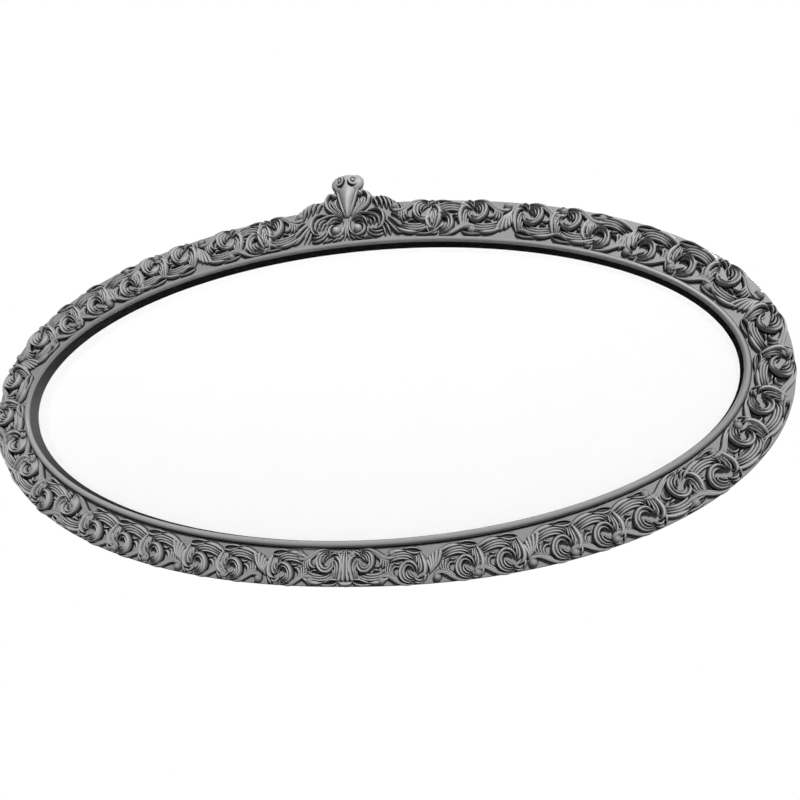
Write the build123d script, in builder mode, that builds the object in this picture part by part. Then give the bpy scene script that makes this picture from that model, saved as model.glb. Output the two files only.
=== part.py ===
"""Carved oval picture frame with a crest, glazed and backed, for hanging on a wall.

Millimetres, +Z up. The front of the frame faces -Y. The origin is the centre of the oval
on the wall, so y = 0 is the wall and every depth below is measured from it towards the viewer.
"""
from build123d import *
import bisect
import math
import os

# The oval
sight_length = 750.0
sight_height = 307.0
band_width = 43.8
outline_power = 2.155
outline_points = 48
top_swell = 5.4
top_swell_reach = 165.0
path_steps = 720

# Depths, from the wall to the front
bumper_thickness = 6.0
backing_thickness = 3.0
card_thickness = 1.0
glass_thickness = 2.0
sight_wall_depth = 11.0
bead_rise = 6.2
carving_relief = 8.0

# Sight moulding and glazing
bead_width = 8.0
bead_round_share = 0.4
glazing_clearance = 1.0

# Fits
glue_gap = 0.1
screw_clearance = 0.05
pivot_clearance = 0.08
running_gap = 0.15
overrun = 1.0

# Carcass joints
joint_share = 0.6
tongue_length = 30.0
tongue_width = 14.0
tongue_thickness = 4.0
tongue_depth_share = 0.65

# Turn buttons and their screws
button_count = 8
button_length = 26.0
button_width = 9.0
button_thickness = 1.5
button_pivot_inset = 9.0
screw_diameter = 3.0
screw_head_diameter = 6.0
screw_head_height = 1.4
screw_head_round_share = 0.5
screw_bite = 7.0

# Strap hangers
hanger_share = 0.5
strap_width = 12.0
strap_length = 30.0
strap_thickness = 1.0
strap_rise = 13.0
strap_hole_drops = (8.0, 23.0)
ring_wire = 2.5
ring_width = 17.0
ring_drop = 16.0
ring_bar_round = 2.6
ring_end_round = 7.0
ring_play = 0.3

# Wall bumpers
bumper_diameter = 12.0
bumper_share = 0.38
bumper_round_share = 0.25

# Carved ornament
ornament_margin = 0.6
carving_gap = 0.3
scroll_foot_share = 0.6
accent_foot_share = 0.5
scroll_reach_share = 0.53
accent_reach_share = 0.26
ball_radius_share = 0.085

# Crest and lower calyx
crest_rise = 35.0
crest_half_width = 52.0
crest_board_thickness = 9.0
crest_relief = 9.0
dowel_diameter = 6.0
dowel_length = 28.0
dowel_spacing = 40.0
calyx_reach_share = 0.24
calyx_relief = 6.5

# Carving stations: share of the way from the top centre round to the bottom centre,
# then the direction along the band and across it; an accent leaf has no direction across
carving_shares = (
    (0.0874, -1, 1),
    (0.1150, 1, -1),
    (0.1493, 1, 1),
    (0.1790, 1, 0),
    (0.2087, 1, 1),
    (0.2483, 1, 1),
    (0.2830, 1, -1),
    (0.3065, 1, 0),
    (0.3298, 1, -1),
    (0.3722, 1, -1),
    (0.4113, 1, 1),
    (0.4390, 1, 0),
    (0.4667, 1, 1),
    (0.5073, 1, 1),
    (0.5464, 1, -1),
    (0.5823, 1, -1),
    (0.6236, 1, 1),
    (0.6584, 1, -1),
    (0.7002, 1, 1),
    (0.7402, 1, 1),
    (0.7810, 1, 1),
    (0.8085, 1, 0),
    (0.8354, 1, 1),
    (0.8762, 1, 1),
    (0.9050, 1, 0),
    (0.9337, 1, 1),
    (0.9760, -1, -1),
)
carvings_per_piece = 2

# Stems of one scroll: along, across and half width as shares of the scroll's height,
# and rise as a share of the relief, point by point
whirl_shares = (
    (-0.11, 0.27, 0.034, 0.55),
    (0.03, 0.275, 0.055, 0.75),
    (0.15, 0.20, 0.070, 0.90),
    (0.20, 0.06, 0.077, 1.00),
    (0.18, -0.09, 0.077, 1.00),
    (0.07, -0.20, 0.074, 1.00),
    (-0.07, -0.21, 0.069, 0.95),
    (-0.17, -0.11, 0.060, 0.85),
    (-0.18, 0.01, 0.047, 0.75),
    (-0.12, 0.09, 0.030, 0.60),
)
arm_shares = (
    (-0.20, 0.28, 0.022, 0.45),
    (-0.03, 0.335, 0.036, 0.60),
    (0.15, 0.325, 0.046, 0.68),
    (0.30, 0.25, 0.054, 0.70),
    (0.41, 0.145, 0.050, 0.66),
)
ball_shares = (0.425, 0.18)
back_leaf_shares = (
    (-0.36, -0.50, 0.050, 0.60),
    (-0.445, -0.31, 0.062, 0.75),
    (-0.465, -0.10, 0.060, 0.80),
    (-0.42, 0.08, 0.052, 0.78),
    (-0.33, 0.21, 0.040, 0.66),
    (-0.26, 0.30, 0.018, 0.45),
)
stalk_shares = (
    (-0.29, -0.51, 0.045, 0.55),
    (-0.20, -0.35, 0.055, 0.66),
    (-0.11, -0.21, 0.040, 0.55),
)
lower_leaf_shares = (
    (-0.39, -0.53, 0.035, 0.48),
    (-0.18, -0.525, 0.056, 0.62),
    (0.06, -0.53, 0.064, 0.66),
    (0.29, -0.49, 0.056, 0.60),
    (0.48, -0.40, 0.030, 0.42),
)
upper_leaf_shares = (
    (-0.20, -0.30, 0.032, 0.46),
    (-0.03, -0.325, 0.054, 0.60),
    (0.17, -0.325, 0.056, 0.64),
    (0.35, -0.265, 0.046, 0.58),
    (0.48, -0.18, 0.026, 0.40),
)
curl_shares = (
    (0.42, 0.10, 0.028, 0.50),
    (0.45, -0.01, 0.040, 0.58),
    (0.41, -0.12, 0.040, 0.58),
    (0.34, -0.155, 0.024, 0.46),
)
scroll_stem_shares = (
    whirl_shares,
    arm_shares,
    back_leaf_shares,
    stalk_shares,
    lower_leaf_shares,
    upper_leaf_shares,
    curl_shares,
)
accent_stem_shares = (
    ((0.12, 0.16, 0.020, 0.45), (-0.06, -0.08, 0.034, 0.62), (-0.13, -0.34, 0.034, 0.52)),
    ((0.13, 0.13, 0.020, 0.45), (0.01, -0.10, 0.034, 0.60), (-0.045, -0.31, 0.032, 0.50)),
    ((0.15, 0.10, 0.020, 0.45), (0.08, -0.10, 0.032, 0.56), (0.045, -0.26, 0.028, 0.46)),
)

# Stems of the crest's right half: across from the axis and up from the outer edge as shares of
# the crest's rise, half width likewise, and rise as a share of the crest's relief
crest_stem_shares = (
    (
        (0.10, -0.28, 0.06, 0.55),
        (0.16, -0.55, 0.09, 0.72),
        (0.34, -0.78, 0.10, 0.80),
        (0.54, -0.70, 0.09, 0.78),
        (0.58, -0.52, 0.07, 0.68),
    ),
    (
        (0.40, -0.14, 0.08, 0.58),
        (0.50, 0.20, 0.12, 0.76),
        (0.44, 0.50, 0.09, 0.66),
        (0.35, 0.66, 0.04, 0.48),
    ),
    (
        (0.54, -0.34, 0.07, 0.52),
        (0.80, -0.02, 0.11, 0.70),
        (0.80, 0.24, 0.08, 0.60),
        (0.71, 0.38, 0.04, 0.44),
    ),
    (
        (0.74, -0.46, 0.07, 0.50),
        (1.08, -0.16, 0.10, 0.64),
        (1.12, 0.10, 0.07, 0.54),
        (1.04, 0.22, 0.04, 0.42),
    ),
)
cartouche_shares = ((0.0, -0.36), (0.26, 0.02), (0.34, 0.42), (0.26, 0.74), (0.0, 0.97))
cartouche_rise_share = 0.9
cartouche_eye_shares = (0.19, 0.74)
cartouche_eye_radius_share = 0.12
crest_board_shares = (
    (1.0, -0.20),
    (0.97, 0.0),
    (0.86, 0.15),
    (0.72, 0.21),
    (0.56, 0.23),
    (0.47, 0.33),
    (0.40, 0.43),
    (0.31, 0.50),
    (0.275, 0.60),
    (0.285, 0.74),
    (0.23, 0.88),
    (0.12, 0.94),
    (0.0, 0.94),
)

# Stems of the calyx: along the band, outwards and half width as shares of the scroll's height,
# and rise as a share of the calyx's relief
calyx_stem_shares = (
    ((0, -0.46, 0.05, 0.7), (0, -0.16, 0.058, 0.92), (0, 0.14, 0.062, 1), (0, 0.4, 0.07, 0.9)),
    (
        (-0.14, -0.46, 0.04, 0.55),
        (-0.09, -0.16, 0.055, 0.75),
        (-0.1, 0.14, 0.06, 0.8),
        (-0.15, 0.4, 0.042, 0.7),
    ),
    (
        (0.14, -0.46, 0.04, 0.55),
        (0.09, -0.16, 0.055, 0.75),
        (0.1, 0.14, 0.06, 0.8),
        (0.15, 0.4, 0.042, 0.7),
    ),
    (
        (-0.165, 0.41, 0.03, 0.55),
        (-0.1, 0.43, 0.055, 0.8),
        (0.1, 0.43, 0.055, 0.8),
        (0.165, 0.41, 0.03, 0.55),
    ),
)

# Sizes that follow
back_depth = bumper_thickness
glass_front = back_depth + backing_thickness + card_thickness + glass_thickness
band_front = glass_front + sight_wall_depth
bead_front = band_front + bead_rise
band_thickness = band_front - back_depth
sight_a = sight_length / 2
sight_b = sight_height / 2
outer_a = sight_a + band_width
outer_b = sight_b + band_width
top_edge = outer_b + top_swell
wood_width = band_width - bead_width
scroll_height = wood_width - 2 * ornament_margin
mid_offset = bead_width + wood_width / 2
ball_radius = ball_radius_share * scroll_height

os.makedirs("parts", exist_ok=True)


def save(piece, name):
    """Label a finished piece and write it."""
    piece.label = name
    export_step(piece, f"parts/{name}.step")


def bent(value):
    """Sine or cosine bent so that the curve it draws is fuller at the corners than an ellipse."""
    return math.copysign(abs(value) ** (2 / outline_power), value)


def swell_at(x):
    """Extra width of the band under the crest, which fades out along the top."""
    return top_swell * math.exp(-((x / top_swell_reach) ** 2))


def outer_outline(grow=0):
    """Face inside the outer edge of the frame, one smooth closed curve."""
    points = []
    for i in range(outline_points):
        around = 2 * math.pi * i / outline_points
        x = (outer_a + grow) * bent(math.cos(around))
        z = (outer_b + grow) * bent(math.sin(around))
        points.append((x, z + swell_at(x) if z > 0 else z))
    with BuildSketch() as face:
        with BuildLine():
            Spline(*points, periodic=True)
        make_face()
    return face.sketch


def facing(depth):
    """Plane parallel to the wall at a depth, seen from the front."""
    return Plane.XZ.offset(depth)


def oval_point(turn, grow):
    """Point at a distance outside the sight oval, and the outward direction there; turn 0 is the top."""
    outward = Vector(math.sin(turn) / sight_a, math.cos(turn) / sight_b).normalized()
    point = Vector(sight_a * math.sin(turn), sight_b * math.cos(turn))
    return point + outward * grow, outward


def oval(grow):
    """Face inside the sight oval with both its half axes grown alike."""
    with BuildSketch() as face:
        Ellipse(sight_a + grow, sight_b + grow)
    return face.sketch


# Running length along the middle of the band, from the top centre clockwise to the bottom centre
turns = [math.pi * i / path_steps for i in range(path_steps + 1)]
path_lengths = [0.0]
for here, there in zip(turns, turns[1:]):
    stretch = oval_point(there, mid_offset)[0] - oval_point(here, mid_offset)[0]
    path_lengths.append(path_lengths[-1] + stretch.length)
half_length = path_lengths[-1]


def turn_at(share):
    """Turn of the point that lies a share of the half length from the top centre."""
    target = share * half_length
    i = min(max(bisect.bisect_right(path_lengths, target), 1), path_steps)
    part_way = (target - path_lengths[i - 1]) / (path_lengths[i] - path_lengths[i - 1])
    return turns[i - 1] + part_way * (turns[i] - turns[i - 1])


def band_plane(share, grow, depth=band_front):
    """Plane on the band: x runs clockwise along it, y outwards, z towards the viewer."""
    point, outward = oval_point(turn_at(share), grow)
    x_dir = (outward.Y, 0, -outward.X)
    return Plane(origin=(point.X, -depth, point.Y), x_dir=x_dir, z_dir=(0, -1, 0))


def stem(stations, size, relief):
    """Tapering half-round stem through stations of along, across, half width and rise."""
    points = [Vector(s[0] * size, s[1] * size) for s in stations]
    faces = []
    for i, station in enumerate(stations):
        before = points[max(i - 1, 0)]
        after = points[min(i + 1, len(points) - 1)]
        along = (after - before).normalized()
        across = Vector(-along.Y, along.X)
        with BuildSketch(Plane(origin=points[i], x_dir=across, z_dir=along)) as section:
            with BuildLine():
                rim = EllipticalCenterArc((0, 0), station[2] * size, station[3] * relief, 0, arc_size=180)
                Line(rim @ 1, rim @ 0)
            make_face()
        faces.append(section.sketch)
    loft(faces)


# Sight moulding: the raised bead round the opening, whose back edge keeps the glass in
with BuildPart() as sight_moulding:
    with BuildSketch(facing(glass_front)):
        add(oval(bead_width - glue_gap))
        add(oval(0), mode=Mode.SUBTRACT)
    extrude(amount=bead_front - glass_front)
    crown = sight_moulding.faces().sort_by(Axis.Y)[0]
    fillet(crown.edges(), radius=bead_round_share * bead_width)
save(sight_moulding.part, "sight_moulding")

# Places on the back of the carcass
button_grow = bead_width + button_pivot_inset
button_shares = [(2 * i + 1) / button_count for i in range(button_count)]
button_seats = []
for share in button_shares:
    point, outward = oval_point(turn_at(min(share, 2 - share)), button_grow)
    side = 1 if share < 1 else -1
    button_seats.append((Vector(side * point.X, point.Y), Vector(side * outward.X, outward.Y)))
button_places = [point for point, _ in button_seats]


def band_middle_height(x):
    """Height of the middle of the wooden band above the oval's centre line, at x."""
    inner_a = sight_a + bead_width
    inner = (sight_b + bead_width) * math.sqrt(1 - (x / inner_a) ** 2)
    outer = outer_b * (1 - (x / outer_a) ** outline_power) ** (1 / outline_power)
    return (inner + outer) / 2


joint_x = joint_share * outer_a
joint_z = band_middle_height(joint_x)
hanger_x = hanger_share * outer_a
hanger_z = band_middle_height(hanger_x) + strap_rise
bumper_x = bumper_share * outer_a
bumper_z = band_middle_height(bumper_x)
strap_screw_places = [(side * hanger_x, hanger_z - drop) for side in (-1, 1) for drop in strap_hole_drops]
tongue_depth = back_depth + tongue_depth_share * band_thickness
dowel_bite = dowel_length / 2
dowel_depth = band_front - crest_board_thickness / 2
dowel_places = [-dowel_spacing / 2, dowel_spacing / 2]

# Carcass: a wooden oval ring with a flat face, cut into four segments
with BuildPart() as carcass:
    with BuildSketch(facing(back_depth)):
        add(outer_outline())
        add(oval(bead_width), mode=Mode.SUBTRACT)
    extrude(amount=band_thickness)
    with BuildSketch(facing(back_depth)):
        with Locations(*button_places, *strap_screw_places):
            Circle(screw_diameter / 2 + screw_clearance)
    extrude(amount=screw_bite + screw_clearance, mode=Mode.SUBTRACT)
    with BuildSketch(facing(tongue_depth - tongue_thickness / 2 - glue_gap)):
        with GridLocations(2 * joint_x, 2 * joint_z, 2, 2):
            Rectangle(tongue_length + 2 * glue_gap, tongue_width + 2 * glue_gap)
    extrude(amount=tongue_thickness + 2 * glue_gap, mode=Mode.SUBTRACT)
    with BuildSketch(Plane.XY.offset(top_edge - dowel_bite - glue_gap)):
        with Locations(*[(x, -dowel_depth) for x in dowel_places]):
            Circle(dowel_diameter / 2 + glue_gap)
    extrude(amount=dowel_bite + overrun, mode=Mode.SUBTRACT)


def carcass_segment(name, x_low, x_high, z_side):
    """Keep the stretch of the carcass between two joints, above, below or on both sides of the axis."""
    with BuildPart() as segment:
        add(carcass.part)
        split(bisect_by=Plane.YZ.offset(x_low + glue_gap / 2), keep=Keep.TOP)
        split(bisect_by=Plane.YZ.offset(x_high - glue_gap / 2), keep=Keep.BOTTOM)
        if z_side > 0:
            split(bisect_by=Plane.XY, keep=Keep.TOP)
        if z_side < 0:
            split(bisect_by=Plane.XY, keep=Keep.BOTTOM)
    save(segment.part, name)


past_end = outer_a + overrun
carcass_segment("carcass_top", -joint_x, joint_x, 1)
carcass_segment("carcass_bottom", -joint_x, joint_x, -1)
carcass_segment("carcass_right", joint_x, past_end, 0)
carcass_segment("carcass_left", -past_end, -joint_x, 0)

# Loose tongues glued across the four carcass joints
with BuildPart() as joint_tongues:
    with BuildSketch(facing(tongue_depth - tongue_thickness / 2)):
        with GridLocations(2 * joint_x, 2 * joint_z, 2, 2):
            Rectangle(tongue_length, tongue_width)
    extrude(amount=tongue_thickness)
save(joint_tongues.part, "joint_tongues")


def oval_sheet(name, depth, thickness):
    """Flat oval sheet lying in the rebate."""
    with BuildPart() as sheet:
        with BuildSketch(facing(depth)):
            add(oval(bead_width - glazing_clearance))
        extrude(amount=thickness)
    save(sheet.part, name)


oval_sheet("backing_board", back_depth, backing_thickness)
oval_sheet("picture_card", back_depth + backing_thickness, card_thickness)
oval_sheet("glass", glass_front - glass_thickness, glass_thickness)

# Turn buttons: flat steel cleats that swing over the backing board
button_face = back_depth - running_gap
for number, (place, outward) in enumerate(button_seats, start=1):
    inward = (-outward.X, 0, -outward.Y)
    button_plane = Plane(origin=(place.X, -button_face, place.Y), x_dir=inward, z_dir=(0, 1, 0))
    with BuildPart() as turn_button:
        with BuildSketch(button_plane):
            with Locations((button_length / 2 - button_width / 2, 0)):
                SlotOverall(button_length, button_width)
            Circle(screw_diameter / 2 + pivot_clearance, mode=Mode.SUBTRACT)
        extrude(amount=button_thickness)
    save(turn_button.part, f"turn_button_{number}")


def pan_screws(name, places, seat_depth):
    """Group of pan-head wood screws driven in from the back, heads standing on a seat."""
    with BuildPart() as screws:
        with BuildSketch(facing(seat_depth)):
            with Locations(*places):
                Circle(screw_diameter / 2)
        extrude(amount=back_depth + screw_bite - seat_depth)
        with BuildSketch(facing(seat_depth)):
            with Locations(*places):
                Circle(screw_head_diameter / 2)
        extrude(amount=-screw_head_height)
        heads = screws.edges().filter_by(GeomType.CIRCLE).group_by(Axis.Y)[-1]
        fillet(heads, radius=screw_head_round_share * screw_head_height)
    save(screws.part, name)


button_screw_seat = button_face - button_thickness - running_gap
strap_face = back_depth - strap_thickness
pan_screws("turn_button_screws", button_places, button_screw_seat)
pan_screws("hanger_screws", strap_screw_places, strap_face)

# Strap hangers: a bent steel strap whose rolled end carries the ring
knuckle_bore = ring_wire / 2 + ring_play
knuckle_radius = knuckle_bore + strap_thickness
knuckle_depth = back_depth - knuckle_radius
with BuildPart() as hanger_straps:
    for side in (-1, 1):
        with BuildSketch(Plane.YZ.offset(side * hanger_x)):
            with Locations((-knuckle_depth, hanger_z)):
                Circle(knuckle_radius)
            with Locations((-back_depth, hanger_z)):
                Rectangle(strap_thickness, strap_length, align=(Align.MIN, Align.MAX))
            with Locations((-knuckle_depth, hanger_z)):
                Circle(knuckle_bore, mode=Mode.SUBTRACT)
        extrude(amount=strap_width / 2, both=True)
    with BuildSketch(facing(strap_face - overrun)):
        with Locations(*strap_screw_places):
            Circle(screw_diameter / 2 + screw_clearance)
    extrude(amount=strap_thickness + 2 * overrun, mode=Mode.SUBTRACT)
save(hanger_straps.part, "hanger_straps")

# Hanger rings: closed wire loops, stored hanging from the knuckles
for side, name in ((-1, "hanger_ring_left"), (1, "hanger_ring_right")):
    centre = side * hanger_x
    half = ring_width / 2
    with BuildPart() as hanger_ring:
        with BuildLine(facing(knuckle_depth)) as loop:
            corners = (
                (centre + half, hanger_z),
                (centre + half, hanger_z - ring_drop),
                (centre - half, hanger_z - ring_drop),
                (centre - half, hanger_z),
            )
            rounds = (ring_bar_round, ring_end_round, ring_end_round, ring_bar_round)
            FilletPolyline(*corners, radius=rounds, close=True)
        with BuildSketch(Plane(origin=loop.line @ 0, z_dir=loop.line % 0)):
            Circle(ring_wire / 2)
        sweep()
    save(hanger_ring.part, name)

# Rubber bumpers that hold the frame off the wall
with BuildPart() as wall_bumpers:
    with BuildSketch(facing(0)):
        with GridLocations(2 * bumper_x, 2 * bumper_z, 2, 2):
            Circle(bumper_diameter / 2)
    extrude(amount=bumper_thickness)
    fillet(wall_bumpers.edges().group_by(Axis.Y)[-1], radius=bumper_round_share * bumper_thickness)
save(wall_bumpers.part, "wall_bumpers")

# One scroll, carved once in its own flat frame
with BuildPart() as scroll:
    for shares in scroll_stem_shares:
        stem(shares, scroll_height, carving_relief)
    with Locations((ball_shares[0] * scroll_height, ball_shares[1] * scroll_height, 0)):
        Sphere(ball_radius)
    split(bisect_by=Plane.XY, keep=Keep.TOP)

# One accent leaf, three flutes wide
with BuildPart() as accent:
    for shares in accent_stem_shares:
        stem(shares, scroll_height, carving_relief)

scroll_reach = scroll_reach_share * scroll_height / half_length
accent_reach = accent_reach_share * scroll_height / half_length
crest_reach = crest_half_width / half_length
calyx_reach = calyx_reach_share * scroll_height / half_length
cells = [(share, scroll_reach if across else accent_reach) for share, _, across in carving_shares]
cells = [(0, crest_reach), *cells, (1, calyx_reach)]


def cell_ends(share, reach):
    """Shares where a piece of carving is trimmed so that it clears its neighbours."""
    low = share - reach
    high = share + reach
    for other, other_reach in cells:
        if other != share:
            meeting = (share * other_reach + other * reach) / (reach + other_reach)
            if other < share:
                low = max(low, meeting)
            else:
                high = min(high, meeting)
    return low, high


def carving_on_band(share, along, across):
    """One scroll or accent leaf set on the right half of the band and trimmed to its cell."""
    carved = scroll.part if across else accent.part
    reach = scroll_reach if across else accent_reach
    foot = {1: scroll_foot_share, -1: 1 - scroll_foot_share, 0: accent_foot_share}[across]
    grow = bead_width + ornament_margin + foot * scroll_height
    if along < 0:
        carved = carved.mirror(Plane.YZ)
    if across < 0:
        carved = carved.mirror(Plane.XZ)
    low, high = cell_ends(share, reach)
    with BuildPart() as placed:
        add(band_plane(share, grow).location * carved)
        start = band_plane(low, mid_offset)
        split(bisect_by=Plane(start.origin, z_dir=start.x_dir).offset(carving_gap / 2), keep=Keep.TOP)
        finish = band_plane(high, mid_offset)
        split(bisect_by=Plane(finish.origin, z_dir=finish.x_dir).offset(-carving_gap / 2), keep=Keep.BOTTOM)
    return placed.part


# Carved runs: neighbouring carvings share a piece, and the left side mirrors the right
for first in range(0, len(carving_shares), carvings_per_piece):
    number = first // carvings_per_piece + 1
    with BuildPart() as run_right:
        for share, along, across in carving_shares[first:first + carvings_per_piece]:
            add(carving_on_band(share, along, across))
    save(run_right.part, f"carving_right_{number:02d}")
    with BuildPart() as run_left:
        add(run_right.part.mirror(Plane.YZ))
    save(run_left.part, f"carving_left_{number:02d}")


def mirrored_outline(points):
    """Smooth closed outline whose right half runs through the points from bottom to top."""
    with BuildSketch() as outline:
        with BuildLine():
            right = Spline(*points)
            if points[0][0] > 0:
                Line((0, points[0][1]), right @ 0)
            if points[-1][0] > 0:
                Line(right @ 1, (0, points[-1][1]))
            mirror(about=Plane.YZ)
        make_face()
    return outline.sketch


# Crest board: stands on the top of the carcass and backs the crest carving
with BuildPart() as crest_board:
    board_points = [(x * crest_half_width, top_edge + z * crest_rise) for x, z in crest_board_shares]
    with BuildSketch(facing(band_front - crest_board_thickness)):
        add(mirrored_outline(board_points))
        add(outer_outline(glue_gap), mode=Mode.SUBTRACT)
    extrude(amount=crest_board_thickness)
    with BuildSketch(Plane.XY.offset(top_edge - overrun)):
        with Locations(*[(x, -dowel_depth) for x in dowel_places]):
            Circle(dowel_diameter / 2 + glue_gap)
    extrude(amount=dowel_bite + overrun + glue_gap, mode=Mode.SUBTRACT)
save(crest_board.part, "crest_board")

# Dowels between the carcass and the crest board
with BuildPart() as crest_dowels:
    with BuildSketch(Plane.XY.offset(top_edge - dowel_bite)):
        with Locations(*[(x, -dowel_depth) for x in dowel_places]):
            Circle(dowel_diameter / 2)
    extrude(amount=dowel_length)
save(crest_dowels.part, "crest_dowels")

# Crest carving: a keeled cartouche with two eyes, flanked by leaves and volutes
with BuildPart() as crest_half:
    for shares in crest_stem_shares:
        stem(shares, crest_rise, crest_relief)
    with BuildSketch():
        with Locations((cartouche_eye_shares[0] * crest_rise, cartouche_eye_shares[1] * crest_rise)):
            Circle(cartouche_eye_radius_share * crest_rise)
    extrude(amount=crest_relief)
with BuildPart() as crest_carving:
    cartouche_points = [(x * crest_rise, z * crest_rise) for x, z in cartouche_shares]
    add(mirrored_outline(cartouche_points))
    extrude(amount=cartouche_rise_share * crest_relief)
    add(crest_half.part)
    add(crest_half.part.mirror(Plane.YZ))
crest_seat = Plane(origin=(0, -band_front, top_edge), x_dir=(1, 0, 0), z_dir=(0, -1, 0))
save(crest_seat.location * crest_carving.part, "crest_carving")

# Calyx at the bottom centre: a fluted column on a rounded foot, flared towards the outer edge
with BuildPart() as calyx:
    for shares in calyx_stem_shares:
        stem(shares, scroll_height, calyx_relief)
save(band_plane(1, mid_offset).location * calyx.part, "lower_calyx")
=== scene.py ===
# %% [markdown]
# # A carved oval picture frame
#
# The frame hangs on a wall and faces -Y. Its wooden band carries a run of carved acanthus scrolls
# that all come from one pattern, turned and flipped, so the lesson carves that pattern once and
# repeats it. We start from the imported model: every piece below is placed by its boxes.

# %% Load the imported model
import math

import bmesh
import bpy
import numpy as np
from mathutils import Matrix, Vector


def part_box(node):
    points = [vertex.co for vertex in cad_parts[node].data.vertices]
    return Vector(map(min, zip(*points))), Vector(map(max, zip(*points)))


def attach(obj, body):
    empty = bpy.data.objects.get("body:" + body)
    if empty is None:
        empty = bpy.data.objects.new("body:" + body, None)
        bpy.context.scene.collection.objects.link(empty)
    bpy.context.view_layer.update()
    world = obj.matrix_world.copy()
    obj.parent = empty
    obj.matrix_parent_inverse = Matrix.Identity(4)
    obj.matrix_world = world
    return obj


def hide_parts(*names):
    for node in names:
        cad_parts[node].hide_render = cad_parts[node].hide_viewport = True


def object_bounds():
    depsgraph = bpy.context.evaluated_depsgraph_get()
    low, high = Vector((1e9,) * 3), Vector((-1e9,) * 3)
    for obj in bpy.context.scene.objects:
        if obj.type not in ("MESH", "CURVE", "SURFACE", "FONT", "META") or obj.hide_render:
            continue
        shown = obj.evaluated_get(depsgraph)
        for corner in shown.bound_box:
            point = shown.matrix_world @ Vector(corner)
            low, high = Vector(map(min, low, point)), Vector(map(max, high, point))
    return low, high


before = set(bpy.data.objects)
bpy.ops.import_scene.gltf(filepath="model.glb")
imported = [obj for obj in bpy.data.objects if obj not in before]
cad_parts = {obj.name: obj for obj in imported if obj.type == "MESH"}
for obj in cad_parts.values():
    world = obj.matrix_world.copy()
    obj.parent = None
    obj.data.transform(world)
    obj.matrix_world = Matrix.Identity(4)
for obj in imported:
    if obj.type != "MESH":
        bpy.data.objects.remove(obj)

cad_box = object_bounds()
MM = 0.001

# %% [markdown]
# ## The oval
#
# Everything follows the sight oval, the edge of the opening. The moulding's box gives its outer
# half axes, and the bead is 8 mm wide, so the sight oval is that much smaller. The outer edge of
# the band is a little fuller at the corners than an ellipse: a power slightly above 2 draws it. Along
# the top it swells by a few millimetres under the crest.

# %% Sizes read from the frame
moulding_low, moulding_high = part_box("sight_moulding")
band_low, band_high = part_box("carcass_right")
top_low, top_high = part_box("carcass_top")
bottom_low, bottom_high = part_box("carcass_bottom")
BEAD_WIDTH = 8.0 * MM
GLUE_GAP = 0.1 * MM
OUTER_POWER = 2.155
SWELL_REACH = 165.0 * MM
sight_a = moulding_high[0] - BEAD_WIDTH + GLUE_GAP
sight_b = moulding_high[2] - BEAD_WIDTH + GLUE_GAP
outer_a = band_high[0]
outer_b = -bottom_low[2]
top_swell = top_high[2] - outer_b
band_front = band_low[1]
band_back = band_high[1]
bead_front = moulding_low[1]
glass_front = moulding_high[1]
print(f"sight {2 * sight_a:.3f} by {2 * sight_b:.3f} m, outer {2 * outer_a:.3f} by {2 * outer_b:.3f} m, "
      f"swell {top_swell / MM:.1f} mm")


# %% Points on the oval
def oval_point(turn, grow):
    """Point at a distance outside the sight oval and the outward direction there; turn 0 is the top."""
    outward = Vector((math.sin(turn) / sight_a, 0, math.cos(turn) / sight_b)).normalized()
    point = Vector((sight_a * math.sin(turn), 0, sight_b * math.cos(turn)))
    return point + outward * grow, outward


def band_width_at(turn):
    """Width of the band from the sight oval to the outer edge, along the outward direction."""
    low, high = 0.0, outer_b
    for _ in range(40):
        middle = (low + high) / 2
        point, _ = oval_point(turn, middle)
        swell = top_swell * math.exp(-((point.x / SWELL_REACH) ** 2)) if point.z > 0 else 0.0
        inside = (abs(point.x) / outer_a) ** OUTER_POWER + (abs(point.z - swell) / outer_b) ** OUTER_POWER < 1
        low, high = (middle, high) if inside else (low, middle)
    return low


PATH_STEPS = 720
MID_GROW = 21.9 * MM
path_turns = [math.pi * i / PATH_STEPS for i in range(PATH_STEPS + 1)]
path_lengths = [0.0]
for here, there in zip(path_turns, path_turns[1:]):
    stretch = oval_point(there, MID_GROW)[0] - oval_point(here, MID_GROW)[0]
    path_lengths.append(path_lengths[-1] + stretch.length)


path_shares = np.array(path_lengths) / path_lengths[-1]
path_rooms = np.array([band_width_at(turn) - BEAD_WIDTH for turn in path_turns])
print(f"half length of the band {path_lengths[-1]:.3f} m, width at the top {band_width_at(0) / MM:.1f} mm")

# %% [markdown]
# ## Camera
#
# The camera stands a little to the right of the frame and below its middle, close enough for the
# left end to shrink. Its place was worked out from the oval's edges: angles in degrees, distances
# in units of the sight's half length over 0.89.

# %% Place the camera
SIGHT_UNITS = 0.89
CAMERA_AZIMUTH = 13.2
CAMERA_ELEVATION = -12.5
CAMERA_ROLL = -0.65
CAMERA_FOCAL = 0.9
CAMERA_OFFSET = (-0.129, 0.029, 1.749)
SENSOR = 36.0

unit = sight_a / SIGHT_UNITS
azimuth, elevation, roll = (math.radians(a) for a in (CAMERA_AZIMUTH, CAMERA_ELEVATION, CAMERA_ROLL))
backwards = Vector((math.sin(azimuth) * math.cos(elevation),
                    -math.cos(azimuth) * math.cos(elevation),
                    math.sin(elevation)))
level_right = (-backwards).cross(Vector((0, 0, 1))).normalized()
level_up = level_right.cross(-backwards)
right = math.cos(roll) * level_right + math.sin(roll) * level_up
up = -math.sin(roll) * level_right + math.cos(roll) * level_up
place = (-CAMERA_OFFSET[0] * right - CAMERA_OFFSET[1] * up + CAMERA_OFFSET[2] * backwards) * unit
place += Vector((0, band_front, 0))

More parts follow.
